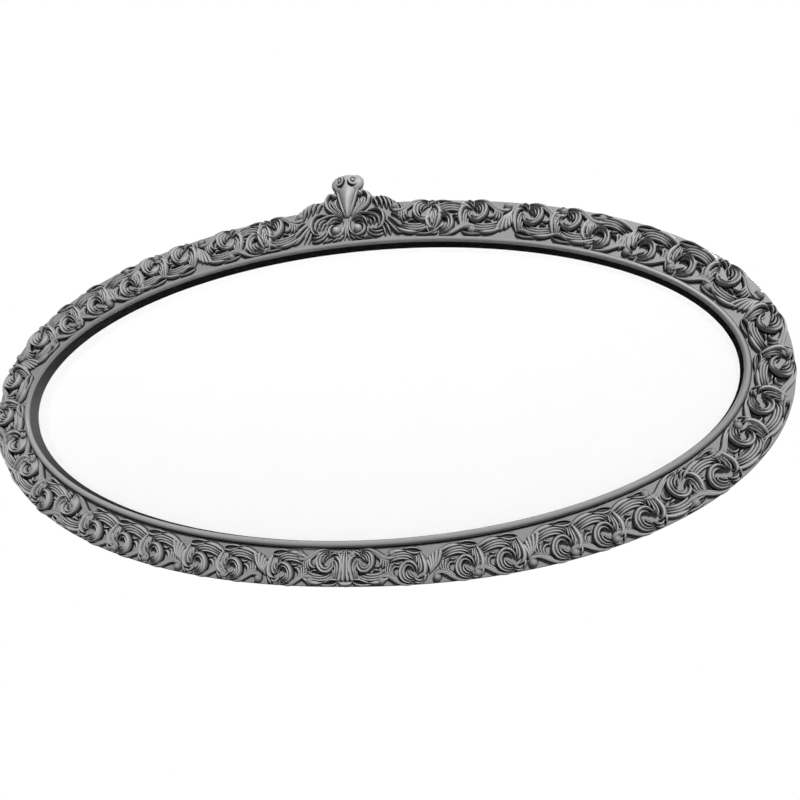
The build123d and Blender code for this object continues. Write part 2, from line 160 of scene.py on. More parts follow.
camera = bpy.data.objects.new("camera", bpy.data.cameras.new("camera"))
camera.data.sensor_width = SENSOR
camera.data.lens = CAMERA_FOCAL * SENSOR
camera.data.clip_start = 0.01
camera.matrix_world = Matrix.Translation(place) @ Matrix((right, up, backwards)).transposed().to_4x4()
bpy.context.scene.collection.objects.link(camera)
bpy.context.scene.camera = camera
print("camera at", [round(v, 3) for v in place])


# %% [markdown]
# ## Writing shaders as sums
#
# A material is a small graph of nodes. The class below wraps a socket so that graphs read as
# arithmetic: `0.4 + 0.1 * noise` adds its Math nodes by itself. Any other node comes from `node`.

# %% A socket that does arithmetic
class Socket:
    def __init__(self, tree, socket):
        self.tree = tree
        self.socket = socket

    def node(self, kind, settings=None, output=0, **inputs):
        """Add a node, set it up, fill or link its inputs and return one of its outputs."""
        made = self.tree.nodes.new(kind)
        for name, value in (settings or {}).items():
            setattr(made, name, value)
        for name, value in inputs.items():
            target = made.inputs[int(name[1:])] if name[0] == "i" and name[1:].isdigit() else made.inputs[name]
            if isinstance(value, Socket):
                self.tree.links.new(value.socket, target)
            else:
                target.default_value = value
        return Socket(self.tree, made.outputs[output])

    def math(self, operation, first, second=0.0):
        return self.node("ShaderNodeMath", {"operation": operation}, i0=first, i1=second)

    def __add__(self, other):
        return self.math("ADD", self, other)

    __radd__ = __add__

    def __mul__(self, other):
        return self.math("MULTIPLY", self, other)

    __rmul__ = __mul__

    def __sub__(self, other):
        return self.math("SUBTRACT", self, other)

    def __rsub__(self, other):
        return self.math("SUBTRACT", other, self)


def new_material(name):
    """Empty material with its Principled shader and the object's coordinates."""
    material = bpy.data.materials.new(name)
    material.use_nodes = True
    shader = material.node_tree.nodes["Principled BSDF"]
    where = Socket(material.node_tree, None).node("ShaderNodeTexCoord", output="Object")
    return material, shader, where


def feed(shader, **inputs):
    """Link or set the inputs of a shader by name, with underscores for spaces."""
    for name, value in inputs.items():
        target = shader.inputs[name.replace("_", " ")]
        if isinstance(value, Socket):
            value.tree.links.new(value.socket, target)
        else:
            target.default_value = value


def noise_of(where, scale, detail=3.0):
    return where.node("ShaderNodeTexNoise", {"noise_dimensions": "3D"}, Vector=where, Scale=scale, Detail=detail)


def mix_colours(factor, first, second):
    return factor.node("ShaderNodeMix", {"data_type": "RGBA"}, output=2, i0=factor, i6=first, i7=second)


def bump_from(height, strength, distance):
    return height.node("ShaderNodeBump", Height=height, Strength=strength, Distance=distance)


# %% [markdown]
# ## Finishes
#
# The whole front is one satin grey paint. Real paint is never one number: the brush leaves faint
# lighter and darker patches, the sheen varies with them, and a fine tooth shows close up. Light and
# shade are also painted into the colour: a painted highlight on carved crowns, painted shade in the
# crevices, and painted shade on the wall inside the moulding.

# %% Grey paint
PAINT_GREY = 0.30
PAINT_SPREAD = 0.02
# Greys of painted light: a painted highlight for carved crowns, painted shade for crevices and for the sight wall.
PAINTED_HIGHLIGHT_GREY = 0.46
CREVICE_PAINTED_SHADE_GREY = 0.010
WALL_PAINTED_SHADE_GREY = 0.012
PAINT_SHEEN = 0.15
BEAD_SHEEN = 0.32


def paint_colours(where):
    """Faint patches of lighter and darker paint, and the patches themselves."""
    patches = noise_of(where, 14.0)
    dark = (PAINT_GREY - PAINT_SPREAD,) * 3 + (1,)
    light = (PAINT_GREY + PAINT_SPREAD,) * 3 + (1,)
    return mix_colours(patches, dark, light), patches


def flat_paint():
    """Satin paint of the plain band, with a fine tooth."""
    material, shader, where = new_material("band_paint")
    colour, patches = paint_colours(where)
    feed(shader,
         Base_Color=colour,
         Roughness=0.40 + 0.14 * patches,
         Specular_IOR_Level=PAINT_SHEEN,
         Normal=bump_from(noise_of(where, 900.0, 4.0), 0.10, 0.0004))
    return material


def carving_paint_with_painted_light():
    """The same paint on carving, with a painted highlight on the crowns and painted shade in the crevices."""
    material, shader, where = new_material("carved_paint")
    colour, patches = paint_colours(where)
    crown = where.node("ShaderNodeAttribute", {"attribute_name": "crown"}, output="Fac")
    # Painted shade: low crown values (feet, flanks, crevices) turn dark; the second map paints a highlight on the
    # crowns.
    clear = crown.node("ShaderNodeMapRange", {"interpolation_type": "SMOOTHSTEP"}, i0=crown, i1=0.16, i2=0.68)
    painted_highlight = crown.node("ShaderNodeMapRange", {"interpolation_type": "SMOOTHSTEP"}, i0=crown, i1=0.55, i2=1.0)
    highlighted = mix_colours(painted_highlight, colour, (PAINTED_HIGHLIGHT_GREY,) * 3 + (1,))
    feed(shader,
         Base_Color=mix_colours(clear, (CREVICE_PAINTED_SHADE_GREY,) * 3 + (1,), highlighted),
         Roughness=0.52 - 0.16 * clear + 0.08 * patches,
         Specular_IOR_Level=PAINT_SHEEN,
         Normal=bump_from(noise_of(where, 1400.0, 4.0), 0.08, 0.0003))
    return material


def moulding_paint():
    """The band's paint on the bead, with painted shade on the wall that drops from it to the glass and in the groove
    beside the bead.
    """
    material, shader, where = new_material("moulding_paint")
    colour, patches = paint_colours(where)
    wall = where.node("ShaderNodeAttribute", {"attribute_name": "wall"}, output="Fac")
    feed(shader,
         Base_Color=mix_colours(wall, colour, (WALL_PAINTED_SHADE_GREY,) * 3 + (1,)),
         Roughness=0.30 + 0.08 * patches + 0.2 * wall,
         Specular_IOR_Level=BEAD_SHEEN,
         Normal=bump_from(noise_of(where, 900.0, 4.0), 0.10, 0.0004))
    return material


def wall_painted_shade():
    """Dull painted shade for the wall itself, which mirrors nothing; the painted shade is lighter towards one end."""
    material, shader, where = new_material("wall_painted_shade")
    colour, patches = paint_colours(where)
    wall = where.node("ShaderNodeAttribute", {"attribute_name": "wall"}, output="Fac")
    feed(shader,
         Base_Color=mix_colours(wall, colour, (WALL_PAINTED_SHADE_GREY,) * 3 + (1,)),
         Roughness=0.9 + 0.1 * patches,
         Specular_IOR_Level=0.0)
    return material


band_paint = flat_paint()
carved_paint = carving_paint_with_painted_light()
bead_paint = moulding_paint()
wall_shade_material = wall_painted_shade()
print("paints", band_paint.name, carved_paint.name, bead_paint.name)

# %% [markdown]
# ## Building blocks for carving
#
# A carver thinks in stems: a tapering ridge that follows a curve. A UV sphere makes a good stem,
# because it is closed and its poles become the two pointed tips. Each ring of the sphere is moved
# to a point of the curve and squeezed to the width and height wanted there, and the underside is
# pressed flat so that it sinks into the wood. A control point is along, across, half width and
# rise, in millimetres.

# %% Curves and stems
SINK = 0.4
STEM_SIDES = 14
RINGS_PER_SPAN = 5
BODY = 1.2
FOOT = 0.45
GROOVE_HALF = 0.22


def smooth_point(controls, t):
    """Value of a smooth curve through the control points, at t from 0 to 1."""
    spans = len(controls) - 1
    at = min(t * spans, spans - 1e-6)
    i = int(at)
    f = at - i
    p0, p1, p2, p3 = (controls[min(max(i + k, 0), spans)] for k in (-1, 0, 1, 2))
    return [0.5 * (2 * b + (c - a) * f + (2 * a - 5 * b + 4 * c - d) * f * f + (3 * b - a - 3 * c + d) * f ** 3)
            for a, b, c, d in zip(p0, p1, p2, p3)]


def stem(bm, controls, ridge=0.5, sides=STEM_SIDES, blunt=0.75, clear=1.0, groove=0.0):
    """Tapering leaf along a curve; ridge sharpens its crown from round to roof-like, blunt rounds its tips.

    A stem that isn't clear takes painted shade all over, as a hollow does, and a groove splits its crown with a line
    of painted shade."""
    painted_light_layer = bm.verts.layers.float.get("crown") or bm.verts.layers.float.new("crown")
    rings = RINGS_PER_SPAN * (len(controls) - 1)
    ball = bmesh.ops.create_uvsphere(bm, u_segments=sides, v_segments=rings, radius=1)
    for vert in ball["verts"]:
        t = math.acos(max(-1.0, min(1.0, -vert.co.z))) / math.pi
        around = math.atan2(vert.co.y, vert.co.x)
        along, across, half, rise = smooth_point(controls, t)
        ahead = smooth_point(controls, min(t + 0.01, 1))
        behind = smooth_point(controls, max(t - 0.01, 0))
        heading = Vector((ahead[0] - behind[0], ahead[1] - behind[1])).normalized()
        pinch = min(1.0, math.sin(math.pi * t) ** blunt * 1.25) if 0 < t < 1 else 0.0
        side = math.cos(around)
        upper = max(math.sin(around), 0.0)
        crown = (1 - ridge) * upper ** 0.8 + ridge * (1 - abs(side))
        crown *= 1 - groove * math.exp(-((side / GROOVE_HALF) ** 2))
        if upper < 1e-4:
            crown = 0.0
        height = crown * rise * (0.45 + 0.55 * pinch) if crown else -SINK
        offset = side * (half * BODY + (0.0 if crown else FOOT)) * pinch
        vert.co = (along - heading.y * offset, across + heading.x * offset, height)
        # The crown value is painted light: nought on the underside and its foot, so painted shade outlines each stem,
        # rising to a painted highlight on the crown.
        vert[painted_light_layer] = crown * clear


def dome(bm, along, across, radius, rise, clear=1.0):
    """Rounded knob, a sphere pressed onto the wood; its paint is shaded towards its foot, and one that isn't clear
    takes more painted shade.
    """
    painted_light_layer = bm.verts.layers.float.get("crown") or bm.verts.layers.float.new("crown")
    ball = bmesh.ops.create_uvsphere(bm, u_segments=20, v_segments=12, radius=1)
    for vert in ball["verts"]:
        vert[painted_light_layer] = clear * max(vert.co.z, 0.0) ** 0.5
        vert.co = (along + radius * vert.co.x, across + radius * vert.co.y, max(rise * vert.co.z, -SINK))


def pattern_mesh(name, draw):
    """Mesh of a pattern drawn flat, in millimetres, with z as its rise off the wood."""
    bm = bmesh.new()
    draw(bm)
    bmesh.ops.remove_doubles(bm, verts=bm.verts, dist=0.0005)
    bmesh.ops.recalc_face_normals(bm, faces=bm.faces)
    mesh = bpy.data.meshes.new(name)
    bm.to_mesh(mesh)
    bm.free()
    return mesh


# %% [markdown]
# ## One acanthus scroll
#
# The scroll grows out of a cup at its lower left. A back leaf climbs the left side with curling
# fingers, the stem whirls round an open eye, streaming leaves run out to the right under it, and
# a long arm goes over the top and ends in a ball.

# %% Draw the scroll
WHIRL = [
    [(-4.8, 12.4, 0.5, 5.2), (0.8, 12.2, 1.2, 7.0), (5.6, 9.6, 1.7, 8.2), (8.0, 5.2, 1.9, 8.8), (7.8, 0.0, 1.9, 9.0),
     (5.2, -5.0, 1.9, 9.0), (0.6, -8.0, 1.9, 8.8), (-4.3, -7.7, 1.8, 8.4), (-7.7, -4.6, 1.6, 7.8), (-9.0, -0.6, 1.2, 7.0),
     (-8.2, 3.0, 0.4, 5.4)],
    [(-4.6, 10.8, 0.5, 4.8), (0.0, 10.1, 1.0, 6.2), (3.6, 7.4, 1.3, 7.0), (4.9, 3.4, 1.4, 7.4), (4.3, -1.0, 1.4, 7.4),
     (1.2, -4.5, 1.4, 7.2), (-2.8, -4.6, 1.2, 6.8), (-5.4, -2.0, 0.9, 6.0), (-5.9, 1.4, 0.3, 4.6)],
    [(-4.6, 9.2, 0.4, 4.4), (-1.0, 8.1, 1.0, 5.4), (1.4, 5.6, 1.2, 6.0), (2.2, 2.6, 0.9, 5.6), (1.2, 0.0, 0.3, 4.0)],
    [(-5.4, 7.6, 0.4, 4.0), (-2.8, 6.0, 0.9, 4.8), (-0.9, 4.0, 0.8, 4.6), (-0.2, 1.8, 0.3, 3.4)],
]
ARM = [
    [(-5.4, 13.6, 0.5, 4.2), (0.6, 14.4, 1.0, 5.0), (6.6, 13.2, 1.4, 5.8), (12.2, 10.4, 1.7, 6.4), (17.0, 7.0, 1.8, 6.4),
     (21.0, 4.8, 1.7, 6.2), (25.2, 4.2, 1.7, 6.2), (28.8, 5.0, 1.8, 6.0), (31.0, 7.6, 1.4, 5.4), (31.0, 10.2, 0.6, 4.4)],
    [(2.0, 12.4, 0.4, 4.0), (8.2, 10.4, 1.0, 5.2), (13.4, 7.0, 1.3, 5.6), (18.2, 3.4, 1.4, 5.4), (23.0, 1.8, 1.1, 5.0),
     (28.0, 2.4, 0.4, 3.8)],
]
TRUMPET = [
    [(-13.0, -17.8, 1.3, 5.0), (-16.2, -10.4, 2.0, 6.4), (-17.8, -3.0, 2.2, 7.2), (-16.8, 3.0, 2.0, 7.4), (-13.6, 6.6, 1.5, 7.0),
     (-9.6, 7.4, 0.4, 5.4)],
    [(2.0, -19.4, 0.6, 4.4), (8.4, -19.8, 1.8, 5.4), (15.4, -18.8, 2.0, 5.4), (21.6, -16.2, 1.5, 5.0), (27.4, -12.8, 0.4, 3.6)],
]
BACK_LEAF = [
    [(-11.6, -16.4, 0.6, 4.0), (-13.0, -9.6, 1.3, 5.2), (-13.7, -3.8, 1.4, 5.7), (-12.7, 0.8, 1.3, 5.7), (-10.6, 2.8, 0.9, 5.2),
     (-8.9, 2.0, 0.3, 4.0)],
    [(-10.8, -15.8, 0.6, 3.7), (-11.0, -9.8, 1.1, 4.8), (-11.4, -5.2, 1.3, 5.2), (-10.4, -1.8, 0.9, 5.0), (-8.9, -2.0, 0.3, 3.9)],
    [(-10.0, -15.2, 0.5, 3.5), (-9.2, -10.8, 1.0, 4.4), (-9.0, -7.4, 1.0, 4.6), (-7.6, -6.2, 0.3, 3.5)],
    [(-17.6, 3.4, 0.7, 5.2), (-16.4, 8.2, 1.4, 5.7), (-13.4, 13.6, 0.3, 4.0)],
    [(-14.6, 8.6, 0.6, 4.4), (-10.8, 10.8, 1.3, 5.5), (-7.2, 9.2, 1.1, 5.2), (-5.6, 6.2, 0.3, 3.9)],
    [(-12.2, 12.4, 0.5, 3.9), (-8.6, 12.9, 1.0, 4.8), (-5.2, 11.0, 0.3, 4.0)],
]
CUP = [
    [(-15.0, -17.4, 0.5, 5.2), (-11.0, -16.2, 1.0, 6.4), (-6.0, -16.4, 1.1, 6.4), (-0.8, -18.4, 0.9, 5.6), (3.6, -20.2, 0.3, 4.4)],
    [(-15.0, -18.2, 0.4, 4.2), (-10.6, -20.8, 0.8, 4.6), (-4.6, -22.0, 0.9, 4.6), (1.6, -21.6, 0.8, 4.4), (6.0, -21.8, 0.3, 3.6)],
]
STREAMERS = [
    [(-3.4, -9.4, 0.5, 3.2), (0.6, -11.2, 1.2, 4.2), (7.0, -12.0, 1.5, 4.6), (14.0, -10.8, 1.4, 4.4), (21.6, -7.4, 0.4, 3.0)],
    [(-6.0, -9.6, 0.5, 3.2), (-3.0, -12.6, 1.2, 4.2), (3.4, -14.4, 1.5, 4.6), (11.6, -13.8, 1.5, 4.4), (22.4, -9.8, 0.4, 3.0)],
    [(-7.8, -10.2, 0.5, 3.2), (-5.6, -13.8, 1.2, 4.0), (0.2, -16.6, 1.5, 4.4), (8.8, -16.8, 1.5, 4.4), (17.0, -14.6, 1.1, 4.0),
     (25.0, -10.6, 0.4, 2.8)],
    [(-8.8, -11.6, 0.5, 3.0), (-7.4, -14.6, 1.1, 3.7), (-2.6, -17.6, 0.4, 3.0)],
]
CURL = [
    [(12.4, 8.2, 0.4, 3.8), (16.0, 4.4, 1.0, 5.0), (16.6, -0.2, 1.2, 5.6), (14.2, -3.4, 1.2, 5.6), (11.0, -3.9, 0.9, 5.0),
     (9.4, -2.2, 0.4, 4.0)],
    [(15.6, 6.2, 0.4, 3.6), (18.6, 2.2, 1.0, 4.8), (18.8, -3.0, 1.0, 4.8), (16.4, -7.0, 0.3, 3.4)],
    [(19.4, 4.4, 0.4, 3.4), (21.2, 0.6, 1.0, 4.6), (21.2, -4.0, 0.9, 4.6), (19.4, -7.4, 0.3, 3.2)],
    [(7.4, -7.2, 0.4, 3.6), (10.8, -6.8, 1.2, 5.2), (14.8, -8.2, 0.3, 3.4)],
    [(22.4, 3.6, 0.4, 3.2), (23.8, -0.4, 0.9, 4.2), (23.2, -5.4, 0.3, 3.0)],
]
LEAF_BODIES = [
    [(-6.0, -10.4, 1.2, 2.4), (-1.6, -13.6, 3.2, 3.2), (6.4, -14.6, 3.8, 3.6), (14.2, -13.0, 3.2, 3.4), (22.6, -10.0, 0.8, 2.4)],
    [(-11.2, -16.0, 1.0, 2.4), (-11.6, -10.0, 2.4, 3.6), (-12.0, -4.0, 2.6, 4.2), (-11.0, 0.6, 2.0, 4.2), (-9.4, 2.4, 0.8, 3.2)],
    [(-4.6, 11.6, 1.0, 3.2), (0.4, 11.0, 2.0, 4.6), (4.6, 8.4, 2.6, 5.2), (6.4, 4.2, 2.8, 5.4), (6.0, -0.6, 2.8, 5.4), (3.2, -4.8, 2.8, 5.4),
     (-1.2, -6.4, 2.6, 5.2), (-5.0, -4.8, 2.2, 4.8), (-7.2, -1.4, 1.0, 3.6)],
    [(2.4, 12.8, 1.0, 2.4), (8.0, 11.4, 1.8, 3.6), (13.0, 8.4, 2.2, 4.0), (18.0, 5.0, 2.2, 4.0), (23.0, 3.0, 1.6, 3.6), (28.0, 3.4, 0.6, 2.6)],
    [(14.2, 7.0, 1.0, 2.4), (18.0, 2.6, 2.6, 3.4), (18.4, -2.6, 2.8, 3.6), (16.0, -6.2, 1.0, 2.6)],
    [(-13.4, -18.2, 1.0, 1.0), (-8.4, -18.8, 1.4, 1.2), (-3.4, -19.6, 1.2, 1.2), (1.0, -20.4, 0.6, 1.0)],
]
BALL = (28.2, 9.0, 4.4, 6.4)
# Shares of clear paint on the balls and leaf bodies; the rest is painted shade, which also damps the painted highlight
# on the balls.
BALL_UNSHADED_SHARE = 0.60
ROUND, BLADE = 0.35, 0.75
BODY_UNSHADED_SHARE = 0.40


def draw_scroll(bm):
    for group in (WHIRL, BACK_LEAF, STREAMERS, CURL):
        for controls in group:
            stem(bm, controls, BLADE)
    for controls in TRUMPET + CUP:
        stem(bm, controls, ROUND)
    for controls in ARM:
        stem(bm, controls, ROUND, sides=20, groove=0.45)
    for controls in LEAF_BODIES:
        stem(bm, controls, ROUND, clear=BODY_UNSHADED_SHARE)
    dome(bm, *BALL, clear=BALL_UNSHADED_SHARE)


scroll_mesh = pattern_mesh("scroll_pattern", draw_scroll)
print("scroll faces", len(scroll_mesh.polygons))

# %% [markdown]
# ## Accent leaf
#
# Between some scrolls hangs a small fluted leaf. Its flutes fan out from one narrow neck, so a
# loop turns a single flute a little further each time.

# %% Draw the accent leaf
LEAF_NECK = (6.5, 10.0)
LEAF_TIPS = [(-8.2, -14.0), (-3.2, -12.8), (1.4, -11.0), (4.8, -8.2), (7.6, -4.8)]


def draw_accent(bm):
    for tip_along, tip_across in LEAF_TIPS:
        neck_along, neck_across = LEAF_NECK
        middle_along = 0.5 * (neck_along + tip_along) - 2.2
        middle_across = 0.5 * (neck_across + tip_across) + 1.6
        stem(bm, [(neck_along, neck_across, 0.5, 3.6),
                  (middle_along, middle_across, 1.5, 5.4),
                  (0.2 * middle_along + 0.8 * tip_along, 0.2 * middle_across + 0.8 * tip_across, 1.8, 5.0),
                  (tip_along, tip_across, 0.9, 3.4)])


accent_mesh = pattern_mesh("accent_pattern", draw_accent)
print("accent faces", len(accent_mesh.polygons))

# %% [markdown]
# ## Setting the run of carving on the band
#
# Each station says how far round the band a scroll sits, which way it grows along the band, and
# which way up it is; an accent leaf has no way up. The stations follow the carving from the top
# centre round to the bottom centre, and the left side mirrors the right. A carved piece holds two
# neighbours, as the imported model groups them.

# %% Stations of the run
STATIONS = [
    (0.0874, -1, 1), (0.1130, 1, -1), (0.1493, 1, 1), (0.1800, 1, 0), (0.2087, 1, 1), (0.2483, 1, 1), (0.2820, 1, -1),
    (0.3080, 1, 0), (0.3298, 1, -1), (0.3722, 1, -1), (0.4113, 1, 1), (0.4400, 1, 0), (0.4667, 1, 1), (0.5073, 1, 1),
    (0.5464, 1, -1), (0.5823, 1, -1), (0.6236, 1, 1), (0.6584, 1, -1), (0.7002, 1, 1), (0.7402, 1, 1), (0.7810, 1, 1),
    (0.8080, 1, 0), (0.8354, 1, 1), (0.8762, 1, 1), (0.9060, 1, 0), (0.9337, 1, 1), (0.9780, -1, -1),
]
PER_PIECE = 2
EYE_SHARE = 0.615
PATTERN_HEIGHT = 38.6 * MM
mirror_x = Matrix.Diagonal((-1, 1, 1, 1))


def laid_on_band(pattern, share, along, across):
    """Copy of a flat pattern, bent to follow the right half of the band."""
    copy = pattern.copy()
    flat = np.empty(3 * len(copy.vertices))
    copy.vertices.foreach_get("co", flat)
    pattern_along, pattern_across, rise = flat.reshape(-1, 3).T * MM
    size = np.interp(share, path_shares, path_rooms) / PATTERN_HEIGHT
    shares = share + along * pattern_along * size / path_lengths[-1]
    turns = np.interp(shares, path_shares, path_turns)
    rooms = np.interp(shares, path_shares, path_rooms)
    foot = {1: EYE_SHARE, -1: 1 - EYE_SHARE, 0: 0.5}[across]
    grow = BEAD_WIDTH + (foot + (across or 1) * pattern_across / PATTERN_HEIGHT) * rooms
    outward_x, outward_z = np.sin(turns) / sight_a, np.cos(turns) / sight_b
    stretch = grow / np.hypot(outward_x, outward_z)
    placed = (sight_a * np.sin(turns) + outward_x * stretch, band_front - rise, sight_b * np.cos(turns) + outward_z * stretch)
    copy.vertices.foreach_set("co", np.stack(placed, axis=1).ravel())
    if along * (across or 1) < 0:
        copy.flip_normals()
    return copy


def finished_piece(name, bm, material, slot, *nodes, smooth=True):
    """Turn a bmesh into a piece of the frame that stands for the named nodes."""
    mesh = bpy.data.meshes.new(name)
    bm.to_mesh(mesh)
    bm.free()
    mesh.materials.append(material)
    mesh.shade_smooth() if smooth else mesh.shade_flat()
    piece = bpy.data.objects.new(name, mesh)
    bpy.context.scene.collection.objects.link(piece)
    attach(piece, "frame")
    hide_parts(*nodes)
    return piece


def add_pattern(bm, pattern, matrix):
    """Add a copy of a pattern to a bmesh, moved by a matrix and facing outwards."""
    copy = pattern.copy()
    copy.transform(matrix)
    if matrix.determinant() < 0:
        copy.flip_normals()
    bm.from_mesh(copy)
    bpy.data.meshes.remove(copy)


# %% Carve both sides
for first in range(0, len(STATIONS), PER_PIECE):
    for side, side_matrix in (("right", Matrix.Identity(4)), ("left", mirror_x)):
        bm = bmesh.new()
        for share, along, across in STATIONS[first:first + PER_PIECE]:
            laid = laid_on_band(scroll_mesh if across else accent_mesh, share, along, across)
            add_pattern(bm, laid, side_matrix)
            bpy.data.meshes.remove(laid)
        label = f"{side}_{first // PER_PIECE + 1:02d}"
        piece = finished_piece(f"carved_{label}", bm, carved_paint, "carved_paint", f"carving_{label}")
print("carved pieces", 2 * math.ceil(len(STATIONS) / PER_PIECE), "last has", len(piece.data.polygons), "faces")

# %% [markdown]
# ## Crest
#
# At the top centre stands a keeled shield between two round eyes. Leaves curl out on each side of
# it, two volutes with balls sit under it, and a fluted shoulder on each side runs down to the band.
# Only the right half is drawn; the left is its mirror. Here along is to the right of the axis and
# across is up from the edge that the band would have without its swell.

# %% Draw the right half of the crest
SHIELD_KEEL = [(0, -9.0, 2.0, 4.2), (0, -1.0, 4.2, 5.8), (0, 7.0, 6.0, 6.8), (0, 15.0, 8.2, 6.8), (0, 23.5, 11.2, 6.4),
               (0, 32.0, 13.0, 6.2), (0, 42.0, 14.0, 5.8)]
SHIELD_RIM = [[(1.2, -9.6, 0.6, 3.8), (4.6, -1.0, 1.5, 5.0), (7.8, 9.0, 1.7, 5.4), (10.2, 18.0, 1.6, 5.4), (12.8, 25.6, 0.8, 4.4)]]
LOBE = (8.8, 31.2, 9.6, 5.6)
EYE = (7.9, 32.4, 6.3)
EYE_LEVEL, EYE_TILT = 6.8, 0.46
LEAF_LIP = (14.8, 17.4, 2.8, 7.8)
EYE_PROFILE = [(0.0, 1.9), (0.16, 1.7), (0.28, 1.0), (0.34, -0.9), (0.42, -0.9), (0.50, 0.5), (0.64, 0.8), (0.82, 0.4), (1.0, -1.6)]
SIDE_LEAF = [
    [(4.6, -9.6, 0.7, 3.9), (11.0, -4.8, 1.4, 4.9), (17.2, -0.6, 1.9, 5.6), (22.4, 4.6, 2.1, 6.0), (24.2, 12.2, 2.1, 6.3),
     (21.6, 17.6, 2.0, 6.5), (17.4, 19.4, 1.9, 6.5), (14.2, 17.4, 1.7, 6.3), (15.4, 14.8, 1.2, 5.8)],
    [(4.4, -8.6, 0.6, 3.7), (9.8, -3.8, 1.2, 4.6), (15.4, 0.8, 1.4, 5.1), (19.6, 6.4, 1.4, 5.5), (20.4, 13.6, 0.4, 4.8)],
    [(4.2, -7.6, 0.6, 3.5), (8.8, -2.2, 1.1, 4.4), (13.4, 2.8, 1.3, 4.9), (16.8, 8.0, 1.3, 5.1), (17.6, 13.0, 0.4, 4.4)],
    [(3.6, -6.8, 0.6, 3.5), (8.2, -1.0, 1.1, 4.4), (11.8, 4.0, 1.3, 4.9), (13.2, 8.8, 1.2, 4.9), (11.6, 14.4, 0.4, 4.4)],
]
VOLUTE = [
    [(4.6, -9.8, 0.6, 4.8), (2.7, -16.2, 1.2, 5.8), (3.4, -22.8, 1.5, 6.4), (6.4, -28.2, 1.6, 6.6), (11.6, -30.8, 1.6, 6.8),
     (17.0, -29.2, 1.6, 6.8), (19.8, -24.4, 1.5, 6.6), (18.6, -19.2, 1.3, 6.2), (14.4, -16.8, 1.0, 5.6), (10.8, -17.8, 0.4, 4.8)],
    [(4.8, -12.4, 0.5, 4.6), (10.4, -9.6, 1.3, 6.0), (16.6, -10.2, 1.6, 6.6), (20.8, -14.2, 1.4, 6.2), (22.6, -20.4, 0.4, 4.8)],
    [(7.4, -13.8, 0.4, 4.4), (12.4, -12.9, 1.0, 5.6), (17.0, -14.4, 0.9, 5.4), (19.4, -17.6, 0.3, 4.4)],
    [(0.9, -9.0, 0.9, 4.4), (1.0, -15.0, 1.2, 4.8), (0.9, -22.0, 1.2, 4.8), (1.6, -29.0, 1.2, 4.6), (3.0, -35.2, 0.5, 3.4)],
]
VOLUTE_BALL = (12.1, -23.0, 4.8, 7.4)
BRANCH = [
    [(5.2, -10.6, 0.5, 4.4), (9.8, -6.6, 1.2, 5.4), (17.2, -5.6, 1.5, 6.2), (25.2, -7.2, 1.6, 6.4), (31.6, -10.0, 1.5, 6.2),
     (35.4, -14.8, 1.3, 5.8), (35.6, -20.0, 1.0, 5.2), (32.8, -23.0, 0.4, 4.0)],
    [(21.8, -3.6, 0.5, 4.2), (28.0, -2.8, 1.2, 5.6), (34.0, -3.4, 1.5, 6.2), (39.2, -8.4, 1.6, 6.4), (40.6, -16.8, 1.5, 6.2),
     (37.2, -24.2, 1.3, 5.8), (30.8, -25.8, 0.9, 5.0), (27.2, -22.8, 0.3, 4.0)],
    [(22.8, -9.6, 0.4, 4.2), (27.6, -11.2, 1.1, 5.2), (31.0, -15.2, 1.2, 5.4), (30.4, -20.4, 0.3, 4.2)],
    [(23.2, -13.4, 0.4, 4.0), (26.4, -15.8, 1.0, 5.0), (26.8, -20.2, 0.3, 4.0)],
    [(24.0, -22.0, 0.4, 4.0), (27.8, -27.2, 1.2, 5.2), (34.0, -29.6, 1.3, 5.4), (41.0, -27.4, 0.3, 4.0)],
    [(22.2, -25.6, 0.4, 4.0), (26.6, -31.0, 1.2, 5.0), (33.4, -33.4, 1.2, 4.8), (40.6, -32.4, 0.3, 3.6)],
    [(20.8, -30.4, 0.4, 3.6), (23.4, -33.6, 1.0, 4.4), (28.2, -35.2, 0.3, 3.2)],
]
LONG_LEAF = [
    [(39.6, -12.6, 0.5, 4.6), (46.0, -20.0, 1.3, 5.8), (51.6, -27.2, 1.5, 5.8), (56.6, -32.6, 1.2, 5.2), (61.8, -33.6, 0.3, 3.8)],
    [(39.0, -16.4, 0.4, 4.4), (43.4, -21.8, 1.1, 5.4), (46.4, -27.6, 1.3, 5.4), (48.6, -34.4, 0.3, 3.8)],
    [(37.6, -20.4, 0.4, 4.0), (40.4, -24.8, 0.9, 4.8), (42.0, -29.6, 1.0, 4.8), (43.2, -34.8, 0.3, 3.4)],
    [(44.6, -12.4, 0.4, 4.2), (50.6, -17.0, 1.1, 5.0), (56.4, -22.8, 1.2, 5.0), (61.6, -27.6, 0.3, 3.6)],
    [(48.0, -8.8, 0.4, 4.2), (54.0, -12.0, 1.1, 4.8), (60.2, -17.0, 0.3, 3.6)],
]
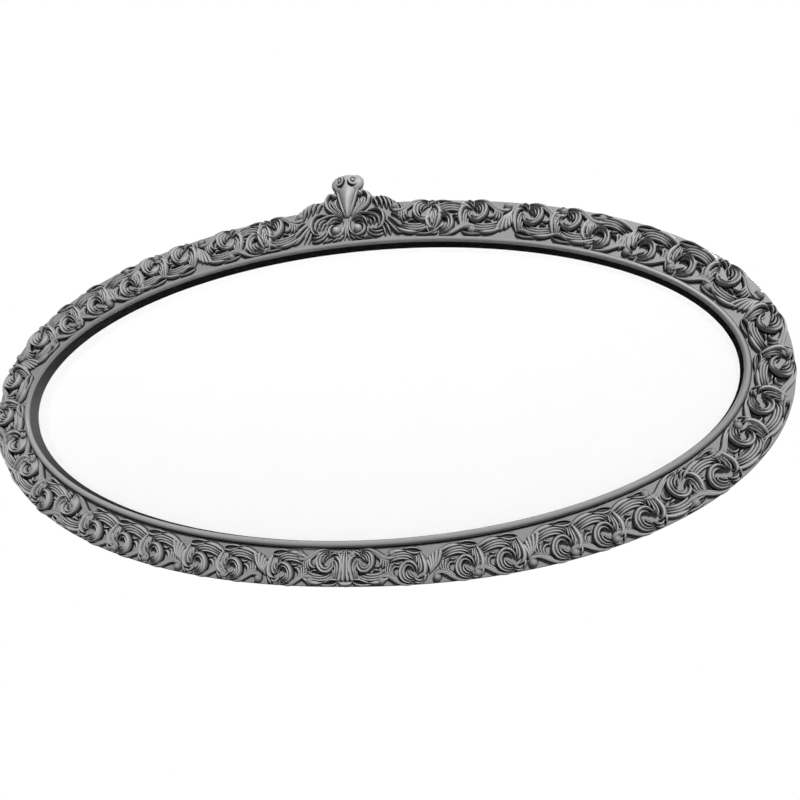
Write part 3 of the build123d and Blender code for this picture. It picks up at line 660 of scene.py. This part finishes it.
SHOULDER = [
    [(27.4, 9.4, 0.5, 4.2), (30.6, 8.0, 1.3, 5.6), (33.0, 4.2, 1.5, 5.8), (34.0, -1.0, 0.4, 4.2)],
    [(31.4, 11.8, 0.5, 4.2), (35.4, 9.8, 1.4, 5.8), (38.2, 5.0, 1.6, 6.0), (39.4, -2.0, 0.4, 4.2)],
    [(36.2, 12.4, 0.5, 4.2), (40.4, 9.4, 1.4, 5.8), (43.2, 3.8, 1.6, 6.0), (44.4, -4.2, 0.4, 4.2)],
    [(41.2, 11.2, 0.5, 4.0), (45.2, 7.4, 1.4, 5.6), (47.8, 1.4, 1.5, 5.8), (48.8, -6.2, 0.4, 4.0)],
    [(46.0, 8.4, 0.5, 4.0), (49.8, 4.6, 1.3, 5.4), (52.2, -1.2, 1.4, 5.4), (53.0, -8.0, 0.4, 3.8)],
    [(50.6, 4.8, 0.4, 3.8), (54.2, 1.6, 1.2, 5.0), (56.6, -3.6, 1.3, 5.0), (57.4, -9.8, 0.4, 3.6)],
    [(55.0, 2.4, 0.4, 3.4), (58.4, -0.8, 1.1, 4.4), (60.8, -5.6, 1.1, 4.4), (61.6, -11.4, 0.3, 3.2)],
]
FILLING = [
    [(3.6, -28.4, 0.4, 3.6), (6.4, -32.0, 1.2, 4.8), (9.8, -35.2, 0.4, 3.6)],
    [(7.6, -31.8, 0.4, 3.6), (12.0, -33.6, 1.1, 4.4), (16.8, -35.4, 0.3, 3.4)],
    [(14.6, -32.6, 0.4, 3.4), (18.8, -33.2, 1.0, 4.2), (23.4, -35.4, 0.3, 3.2)],
]


def eye(bm, along, across, radius):
    """Round boss turned from a profile of radius share and height, tilted to look outwards."""
    painted_light_layer = bm.verts.layers.float.get("crown") or bm.verts.layers.float.new("crown")
    ball = bmesh.ops.create_uvsphere(bm, u_segments=36, v_segments=48, radius=1)
    shares, heights = zip(*EYE_PROFILE)
    for vert in ball["verts"]:
        out = math.hypot(vert.co.x, vert.co.y)
        height = float(np.interp(out, shares, heights))
        on_top = vert.co.z > -1e-6
        # Painted shade in the eye's low grooves, nearly clear paint with a little painted highlight on its raised
        # rings.
        vert[painted_light_layer] = (0.9 if height > 0 else 0.25) if on_top else 0.0
        rise = EYE_LEVEL + height - EYE_TILT * radius * vert.co.x if on_top else -SINK
        vert.co = (along + radius * vert.co.x, across + radius * vert.co.y, rise)


def draw_crest_half(bm):
    for group in (SHIELD_RIM, SIDE_LEAF, VOLUTE, BRANCH, LONG_LEAF, SHOULDER, FILLING):
        for controls in group:
            stem(bm, controls, BLADE)
    eye(bm, *EYE)
    for knob in (LOBE, LEAF_LIP, VOLUTE_BALL):
        dome(bm, *knob)


def draw_keel(bm):
    stem(bm, SHIELD_KEEL, 0.65, sides=48, blunt=0.4)


keel_mesh = pattern_mesh("keel_pattern", draw_keel)
crest_mesh = pattern_mesh("crest_pattern", draw_crest_half)
crest_matrix = Matrix.Translation((0, band_front, outer_b)) @ Matrix(
    ((MM, 0, 0), (0, 0, -MM), (0, MM, 0))).to_4x4()
bm = bmesh.new()
add_pattern(bm, crest_mesh, crest_matrix)
add_pattern(bm, crest_mesh, mirror_x @ crest_matrix)
add_pattern(bm, keel_mesh, crest_matrix)
crest_piece = finished_piece("carved_crest", bm, carved_paint, "carved_paint", "crest_carving")
print("crest faces", len(crest_piece.data.polygons))

# %% [markdown]
# ## Lower calyx
#
# At the bottom centre a fluted column stands between the last two scrolls. It flares at both ends
# and sits on a rounded foot at the outer edge. Here across is up from the outer edge.

# %% Draw the calyx
FLUTES = [-1.0, -0.36, 0.36, 1.0]
CALYX_BALL = (7.8, 30.6, 3.8, 5.6)


def draw_calyx(bm):
    for spread in FLUTES:
        lean = abs(spread)
        stem(bm, [(2.8 * spread, 35.4, 0.9, 3.8), (3.9 * spread, 28.0, 1.5, 5.6 - lean), (4.8 * spread, 20.0, 1.8, 6.6 - lean),
                  (5.6 * spread, 12.0, 2.0, 6.8 - lean), (7.0 * spread, 6.4, 2.0, 6.4 - lean), (7.8 * spread, 4.8, 0.9, 4.6)], BLADE)
    stem(bm, [(-7.4, 5.2, 0.8, 3.6), (-4.2, 3.3, 1.9, 5.4), (0, 2.8, 2.2, 5.8), (4.2, 3.3, 1.9, 5.4), (7.4, 5.2, 0.8, 3.6)], ROUND)
    for way in (-1, 1):
        stem(bm, [(1.8 * way, 35.0, 0.5, 4.0), (4.6 * way, 33.0, 1.3, 5.0), (8.8 * way, 33.0, 1.2, 4.6), (12.2 * way, 34.6, 0.4, 3.4)],
             BLADE)
    dome(bm, *CALYX_BALL, clear=BALL_UNSHADED_SHARE)


calyx_mesh = pattern_mesh("calyx_pattern", draw_calyx)
calyx_matrix = Matrix.Translation((0, band_front, -outer_b)) @ Matrix(
    ((MM, 0, 0), (0, 0, -MM), (0, MM, 0))).to_4x4()
bm = bmesh.new()
add_pattern(bm, calyx_mesh, calyx_matrix)
calyx_piece = finished_piece("carved_calyx", bm, carved_paint, "carved_paint", "lower_calyx")
print("calyx faces", len(calyx_piece.data.polygons))

# %% [markdown]
# ## Band and sight moulding
#
# The band is a flat wooden ring with softened edges, and the moulding is a rounded bead that stands
# proud of it round the opening. Both are rings with one section all the way round, so one function
# makes them: a grid is rolled into a ring, one way round the oval and the other way round the
# section, and its seams are merged. The band is then cut at the four joints with a plane.

# %% Rings from a section
RING_STEPS = 480


def ring_bmesh(section):
    """Closed ring; section(turn) gives the outline there as points of growth from the sight oval and depth."""
    corners = len(section(0.0))
    bm = bmesh.new()
    bmesh.ops.create_grid(bm, x_segments=RING_STEPS, y_segments=corners, size=1)
    outlines = {}
    for vert in bm.verts:
        step = round((vert.co.x + 1) / 2 * RING_STEPS) % RING_STEPS
        corner = round((vert.co.y + 1) / 2 * corners) % corners
        turn = 2 * math.pi * step / RING_STEPS
        if step not in outlines:
            outlines[step] = section(turn)
        grow, depth = outlines[step][corner]
        point, _ = oval_point(turn, grow)
        vert.co = (point.x, depth, point.z)
    bmesh.ops.remove_doubles(bm, verts=bm.verts, dist=1e-7)
    bmesh.ops.recalc_face_normals(bm, faces=bm.faces)
    return bm


EDGE_ROUND = 1.2 * MM


def band_section(turn):
    """Outline of the band at a turn: a flat bar with its two outer edges softened."""
    width = band_width_at(turn)
    softened = [(math.sin(a), math.cos(a)) for a in (math.radians(15 * i) for i in range(7))]
    front = [(width - EDGE_ROUND * (1 - s), band_front + EDGE_ROUND * (1 - c)) for s, c in softened]
    back = [(width - EDGE_ROUND * (1 - s), band_back - EDGE_ROUND * (1 - c)) for s, c in reversed(softened)]
    return [(BEAD_WIDTH, band_front)] + front + back + [(BEAD_WIDTH, band_back)]


band_ring = bpy.data.meshes.new("band_ring")
bm = ring_bmesh(band_section)
bm.to_mesh(band_ring)
bm.free()
joint_x = band_low[0]
print("band ring faces", len(band_ring.polygons))

# %% Cut the band at its joints
CUTS = {
    "top": [((joint_x, 0, 0), (1, 0, 0)), ((-joint_x, 0, 0), (-1, 0, 0)), ((0, 0, 0), (0, 0, -1))],
    "bottom": [((joint_x, 0, 0), (1, 0, 0)), ((-joint_x, 0, 0), (-1, 0, 0)), ((0, 0, 0), (0, 0, 1))],
    "right": [((joint_x, 0, 0), (-1, 0, 0))],
    "left": [((-joint_x, 0, 0), (1, 0, 0))],
}
for side, cuts in CUTS.items():
    bm = bmesh.new()
    bm.from_mesh(band_ring)
    for point, away in cuts:
        bmesh.ops.bisect_plane(bm, geom=bm.verts[:] + bm.edges[:] + bm.faces[:], plane_co=point, plane_no=away,
                               clear_outer=True)
    bmesh.ops.holes_fill(bm, edges=[e for e in bm.edges if e.is_boundary], sides=0)
    bmesh.ops.recalc_face_normals(bm, faces=bm.faces)
    piece = finished_piece(f"band_{side}", bm, band_paint, "band_paint", f"carcass_{side}")
    piece.data.set_sharp_from_angle(angle=math.radians(40))
print("band pieces", len(CUTS))

# %% Sight moulding
CROWN_POWER = 2.2
CROWN_STEPS = 20
QUIRK_WIDTH = 1.0 * MM
QUIRK_DEPTH = 0.3 * MM
crown_foot = band_front + 0.4 * MM


def moulding_section(turn):
    """Outline of the moulding: a deep inner wall, a rounded crown and a narrow groove beside it."""
    outer = BEAD_WIDTH - GLUE_GAP
    half = (outer - QUIRK_WIDTH) / 2
    rise = crown_foot - bead_front
    crown = []
    for i in range(CROWN_STEPS + 1):
        a = math.pi * i / CROWN_STEPS
        across = -math.copysign(abs(math.cos(a)) ** (2 / CROWN_POWER), math.cos(a))
        up_share = math.sin(a) ** (2 / CROWN_POWER)
        crown.append((half + half * across, crown_foot - rise * up_share))
    groove_floor = crown_foot + QUIRK_DEPTH
    return [(0, glass_front)] + crown + [(2 * half, groove_floor), (outer, groove_floor), (outer, glass_front)]


# Painted shade on the sight wall from a little behind the bead's front back to the glass, lighter towards the left end
# where the front lamp reaches, and a line of painted shade in the groove beside the bead.
WALL_TOP = 1.8 * MM
WALL_FADE = 0.8 * MM
LIT_END_SHADE_CUT = 0.3
WALL_REACH = 0.5 * MM
QUIRK_PAINTED_SHADE = 0.85
bm = ring_bmesh(moulding_section)
painted_shade_layer = bm.verts.layers.float.new("wall")
for vert in bm.verts:
    nearest, outward = oval_point(math.atan2(vert.co.x / sight_a, vert.co.z / sight_b), 0)
    reach = (Vector((vert.co.x, 0, vert.co.z)) - nearest).dot(outward)
    if reach < WALL_REACH:
        strength = 1 - LIT_END_SHADE_CUT * max(-outward.x, 0.0) ** 2
        vert[painted_shade_layer] = strength * min(max((vert.co.y - bead_front - WALL_TOP) / WALL_FADE, 0.0), 1.0)
    elif vert.co.y > crown_foot + QUIRK_DEPTH / 2:
        vert[painted_shade_layer] = QUIRK_PAINTED_SHADE
for face in bm.faces:
    face.material_index = int(min(vert[painted_shade_layer] for vert in face.verts) > 0.5)
moulding = finished_piece("rounded_moulding", bm, bead_paint, "band_paint", "sight_moulding")
moulding.data.materials.append(wall_shade_material)
moulding.data.set_sharp_from_angle(angle=math.radians(50))
print("moulding faces", len(moulding.data.polygons))

# %% [markdown]
# ## Glass, card and back
#
# Behind the moulding lie a sheet of clear glass, a blank white card and a brown hardboard back.
# They touch face to face, and light can't tell two faces in one place apart, so each sheet stops a
# tenth of a millimetre short of the next. A sheet is a capped circle moved to the oval and extruded.

# %% Finishes of the sheets
def clear_glass():
    """Picture glass: it mirrors a little, more at a slant, and lets the rest straight through."""
    material, shader, where = new_material("clear_glass")
    smears = noise_of(where, 6.0)
    slant = where.node("ShaderNodeLayerWeight", Blend=0.5, output="Facing")
    feed(shader, Base_Color=(0.97, 1.0, 0.985, 1), Metallic=1.0, Roughness=0.01 + 0.02 * smears,
         Alpha=0.02 + 0.5 * slant.math("POWER", slant, 4.0))
    return material


def white_card():
    """Matt card with a faint tooth."""
    material, shader, where = new_material("white_card")
    fibres = noise_of(where, 420.0, 5.0)
    feed(shader,
         Base_Color=mix_colours(fibres, (0.93, 0.93, 0.925, 1), (0.96, 0.96, 0.955, 1)),
         Roughness=0.8 + 0.1 * fibres,
         Normal=bump_from(fibres, 0.08, 0.0002))
    return material


def hardboard():
    """Pressed brown fibres with lighter flecks."""
    material, shader, where = new_material("hardboard")
    fibres = noise_of(where, 240.0, 6.0)
    clouds = noise_of(where, 9.0)
    flecks = where.node("ShaderNodeTexVoronoi", {"feature": "F1"}, Vector=where, Scale=330.0)
    fleck_mask = flecks.math("LESS_THAN", flecks, 0.16)
    brown = mix_colours(0.6 * fibres + 0.4 * clouds, (0.13, 0.072, 0.035, 1), (0.30, 0.185, 0.10, 1))
    feed(shader,
         Base_Color=mix_colours(0.5 * fleck_mask, brown, (0.42, 0.29, 0.17, 1)),
         Roughness=0.62 + 0.2 * fibres,
         Normal=bump_from(fibres, 0.35, 0.0005))
    return material


def dress(node, material):
    """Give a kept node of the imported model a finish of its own."""
    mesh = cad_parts[node].data
    mesh.materials.clear()
    mesh.materials.append(material)


SHEET_GAP = 0.1 * MM
SHEET_SIDES = 240


def flat_sheet(name, node, material, slot):
    """Oval sheet between the front and back of a node's box."""
    low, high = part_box(node)
    bm = bmesh.new()
    disc = bmesh.ops.create_circle(bm, cap_ends=True, segments=SHEET_SIDES, radius=1)
    for vert in disc["verts"]:
        point, _ = oval_point(math.atan2(vert.co.x, vert.co.y), high[0] - sight_a)
        vert.co = (point.x, low[1], point.z)
    thick = bmesh.ops.extrude_face_region(bm, geom=bm.faces[:], use_keep_orig=True)
    backs = [item for item in thick["geom"] if isinstance(item, bmesh.types.BMVert)]
    bmesh.ops.translate(bm, vec=(0, high[1] - low[1] - SHEET_GAP, 0), verts=backs)
    bmesh.ops.recalc_face_normals(bm, faces=bm.faces)
    return finished_piece(name, bm, material, slot, node, smooth=False)


glass_sheet = flat_sheet("clear_sheet", "glass", clear_glass(), "clear_glass")
blank_card = flat_sheet("blank_card", "picture_card", white_card(), "white_card")
back_sheet = flat_sheet("brown_back", "backing_board", hardboard(), "hardboard")
print("sheets", [len(sheet.data.polygons) for sheet in (glass_sheet, blank_card, back_sheet)])

# %% [markdown]
# ## Wood behind the paint
#
# The tongues and dowels inside the joints are bare beech. Beech is pale, with short darker flecks
# along the grain, which stretched noise gives: the coordinates are squeezed along the grain.

# %% Beech
def bare_beech():
    material, shader, where = new_material("bare_beech")
    along_grain = where.node("ShaderNodeMapping", Vector=where, Scale=(8.0, 90.0, 90.0))
    grain = noise_of(along_grain, 3.0, 6.0)
    flecks = noise_of(along_grain, 14.0, 2.0)
    feed(shader,
         Base_Color=mix_colours(0.7 * grain + 0.3 * flecks, (0.50, 0.33, 0.19, 1), (0.74, 0.56, 0.37, 1)),
         Roughness=0.5 + 0.2 * grain,
         Normal=bump_from(grain, 0.2, 0.0004))
    return material


beech = bare_beech()
for node in ("joint_tongues", "crest_dowels"):
    dress(node, beech)
print("beech on the joint pieces")

# %% [markdown]
# ## Fittings on the back
#
# Steel turn buttons hold the back in, strap hangers carry the frame, and rubber bumpers keep it off
# the wall. Plated steel shows fine brush lines one way, so its noise is stretched hard along X.

# %% Metal and rubber
def plated_steel(name, grey, brush):
    material, shader, where = new_material(name)
    lines = noise_of(where.node("ShaderNodeMapping", Vector=where, Scale=brush), 1.0, 4.0)
    spots = noise_of(where, 160.0)
    feed(shader,
         Base_Color=mix_colours(0.5 * lines + 0.5 * spots, (grey - 0.06,) * 3 + (1,), (grey + 0.05,) * 3 + (1,)),
         Metallic=1.0,
         Roughness=0.30 + 0.16 * lines,
         Normal=bump_from(lines, 0.08, 0.0002))
    return material


def brassed_steel():
    material, shader, where = new_material("screw_brass")
    spots = noise_of(where, 700.0, 4.0)
    feed(shader,
         Base_Color=mix_colours(spots, (0.58, 0.40, 0.16, 1), (0.80, 0.61, 0.31, 1)),
         Metallic=1.0,
         Roughness=0.22 + 0.2 * spots)
    return material


def black_rubber():
    material, shader, where = new_material("bumper_rubber")
    dust = noise_of(where, 380.0, 5.0)
    feed(shader,
         Base_Color=mix_colours(dust, (0.022, 0.022, 0.022, 1), (0.06, 0.058, 0.056, 1)),
         Roughness=0.6 + 0.2 * dust,
         Normal=bump_from(dust, 0.25, 0.0003))
    return material


button_steel = plated_steel("button_steel", 0.48, (900.0, 900.0, 60.0))
hanger_steel = plated_steel("hanger_steel", 0.52, (60.0, 900.0, 900.0))
for number in range(1, 9):
    dress(f"turn_button_{number}", button_steel)
for node in ("hanger_straps", "hanger_ring_left", "hanger_ring_right"):
    dress(node, hanger_steel)
dress("wall_bumpers", black_rubber())
print("fittings dressed")

# %% [markdown]
# ## Slotted screws
#
# The screws are small, but a screw without a slot looks like a rivet. A head starts as a sphere cut
# in half and flattened; two cuts mark the slot, and its faces are pushed in.

# %% Screws with slots
SCREW_SIDES = 28
SLOT_HALF = 0.45 * MM
SLOT_DEPTH = 0.7 * MM


def add_screw(bm, place, head_radius, head_back, seat, shank_radius, shank_end, slot_turn):
    """One pan-head screw that points at -Y, with its slot turned by an angle."""
    screw = bmesh.new()
    bmesh.ops.create_uvsphere(screw, u_segments=SCREW_SIDES, v_segments=14, radius=1)
    bmesh.ops.bisect_plane(screw, geom=screw.verts[:] + screw.edges[:] + screw.faces[:], plane_co=(0, 0, 0),
                           plane_no=(0, 0, -1), clear_outer=True)
    for vert in screw.verts:
        vert.co.z = vert.co.z ** 0.7 if vert.co.z > 0 else 0
    bmesh.ops.scale(screw, vec=(head_radius, head_radius, head_back - seat), verts=screw.verts)
    for way in (-1, 1):
        bmesh.ops.bisect_plane(screw, geom=screw.verts[:] + screw.edges[:] + screw.faces[:],
                               plane_co=(way * SLOT_HALF, 0, 0), plane_no=(1, 0, 0))
    floor_faces = [f for f in screw.faces if abs(f.calc_center_median().x) < SLOT_HALF]
    pushed = bmesh.ops.extrude_face_region(screw, geom=floor_faces)
    bmesh.ops.delete(screw, geom=floor_faces, context="FACES_ONLY")
    for vert in (v for v in pushed["geom"] if isinstance(v, bmesh.types.BMVert)):
        vert.co.z = max(vert.co.z - SLOT_DEPTH, 0)
    rim = [e for e in screw.edges if e.is_boundary]
    bmesh.ops.holes_fill(screw, edges=rim, sides=0)
    bmesh.ops.create_cone(screw, cap_ends=True, segments=SCREW_SIDES, radius1=shank_radius, radius2=shank_radius,
                          depth=seat - shank_end, matrix=Matrix.Translation((0, 0, (shank_end - seat) / 2)))
    upright = Matrix.Translation((place[0], seat, place[1])) @ Matrix.Rotation(-math.pi / 2, 4, "X")
    bmesh.ops.transform(screw, matrix=upright @ Matrix.Rotation(slot_turn, 4, "Z"), verts=screw.verts)
    bmesh.ops.recalc_face_normals(screw, faces=screw.faces)
    mesh = bpy.data.meshes.new("screw")
    screw.to_mesh(mesh)
    screw.free()
    bm.from_mesh(mesh)
    bpy.data.meshes.remove(mesh)


def screw_places(node, head_radius):
    """Centres of the screws in a node, found by sorting its points into heaps a head apart."""
    heaps = []
    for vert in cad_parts[node].data.vertices:
        for heap in heaps:
            if (Vector((vert.co.x, vert.co.z)) - heap[0]).length < 2.2 * head_radius:
                heap.append(Vector((vert.co.x, vert.co.z)))
                break
        else:
            heaps.append([Vector((vert.co.x, vert.co.z))])
    return [((min(p.x for p in heap) + max(p.x for p in heap)) / 2,
             (min(p.y for p in heap) + max(p.y for p in heap)) / 2) for heap in heaps]


HEAD_RADIUS = 3.0 * MM
HEAD_HEIGHT = 1.4 * MM
SHANK_RADIUS = 1.5 * MM
screw_brass = brassed_steel()
for node, name in (("turn_button_screws", "slotted_button_screws"), ("hanger_screws", "slotted_hanger_screws")):
    low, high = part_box(node)
    places = screw_places(node, HEAD_RADIUS)
    bm = bmesh.new()
    for i, place in enumerate(places):
        add_screw(bm, place, HEAD_RADIUS, high[1], high[1] - HEAD_HEIGHT, SHANK_RADIUS, low[1], 0.9 * i)
    screws = finished_piece(name, bm, screw_brass, "screw_brass", node)
    screws.data.set_sharp_from_angle(angle=math.radians(35))
    print(name, len(places))

# %% [markdown]
# ## Crest board
#
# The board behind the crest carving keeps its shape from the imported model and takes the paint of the
# band.

# %% Paint the crest board
dress("crest_board", band_paint)

# %% [markdown]
# ## Light and surroundings
#
# The frame hangs in a bright white room. One round lamp stands in front, above and to the right, so
# that surfaces which face up or right are light and those which face down are dark. The card has a
# lamp of its own straight in front, which the moulding doesn't shade, so that it stays evenly
# white. A third lamp lights the back, and the world adds only a little light of its own. Rays from
# the camera, from glossy paint and through the glass see plain white.

# %% Lamps
FRONT_LAMP = Vector((0.38, -0.78, 0.50)).normalized()
CARD_LAMP = Vector((0.0, -0.88, 0.48)).normalized()
BACK_LAMP = Vector((0.58, 0.60, 0.55)).normalized()
LAMP_DISTANCE = 4.0
LAMP_SIZE = 0.5
FRONT_POWER = 178.0
CARD_POWER = 166.0
BACK_POWER = 165.0


def add_lamp(name, towards, power, lit):
    """Round lamp of a power in watts that lights only the given objects, shaded only by each other."""
    lamp = bpy.data.objects.new(name, bpy.data.lights.new(name, "AREA"))
    lamp.data.shape = "DISK"
    lamp.data.size = LAMP_SIZE
    lamp.data.energy = power
    lamp.location = towards * LAMP_DISTANCE
    lamp.rotation_euler = towards.to_track_quat("Z", "Y").to_euler()
    bpy.context.scene.collection.objects.link(lamp)
    group = bpy.data.collections.new(f"lit by {name}")
    for thing in lit:
        group.objects.link(thing)
    lamp.light_linking.receiver_collection = group
    lamp.light_linking.blocker_collection = group


meshes = [thing for thing in bpy.context.scene.objects if thing.type == "MESH"]
add_lamp("front_lamp", FRONT_LAMP, FRONT_POWER, [thing for thing in meshes if thing != blank_card])
add_lamp("card_lamp", CARD_LAMP, CARD_POWER, [blank_card])
add_lamp("back_lamp", BACK_LAMP, BACK_POWER, meshes)
print("lamps over", len(meshes), "meshes")

# %% World and floor
WORLD_LIGHT = 0.04
FLOOR_DROP = 0.55
FLOOR_SIZE = 4.0


def seen_directly(tree):
    """One where a camera, glossy or transmission ray arrives, and nought elsewhere."""
    start = Socket(tree, None)
    camera_ray = start.node("ShaderNodeLightPath", output="Is Camera Ray")
    glossy_ray = start.node("ShaderNodeLightPath", output="Is Glossy Ray")
    through_ray = start.node("ShaderNodeLightPath", output="Is Transmission Ray")
    return start.math("MAXIMUM", start.math("MAXIMUM", camera_ray, glossy_ray), through_ray)


world = bpy.data.worlds.new("world")
world.use_nodes = True
bpy.context.scene.world = world
white_air = world.node_tree.nodes["Background"]
feed(white_air, Color=(1, 1, 1, 1), Strength=WORLD_LIGHT + (1 - WORLD_LIGHT) * seen_directly(world.node_tree))

floor_paint = bpy.data.materials.new("floor_paint")
floor_paint.use_nodes = True
tree = floor_paint.node_tree
matt = tree.nodes["Principled BSDF"]
feed(matt, Base_Color=(0.9, 0.9, 0.9, 1), Roughness=0.9)
glow = Socket(tree, None).node("ShaderNodeEmission", Color=(1, 1, 1, 1), Strength=1.0)
shown = seen_directly(tree)
mixed = shown.node("ShaderNodeMixShader", i0=shown, i1=Socket(tree, matt.outputs[0]), i2=glow)
tree.links.new(mixed.socket, tree.nodes["Material Output"].inputs["Surface"])

bm = bmesh.new()
bmesh.ops.create_grid(bm, x_segments=1, y_segments=1, size=FLOOR_SIZE)
bmesh.ops.translate(bm, vec=(0, 0, cad_box[0][2] - FLOOR_DROP), verts=bm.verts)
floor_mesh = bpy.data.meshes.new("floor")
bm.to_mesh(floor_mesh)
bm.free()
floor_mesh.materials.append(floor_paint)
floor = bpy.data.objects.new("floor", floor_mesh)
bpy.context.scene.collection.objects.link(floor)
bpy.context.scene.view_settings.view_transform = "Standard"
print("floor at", round(cad_box[0][2] - FLOOR_DROP, 3))
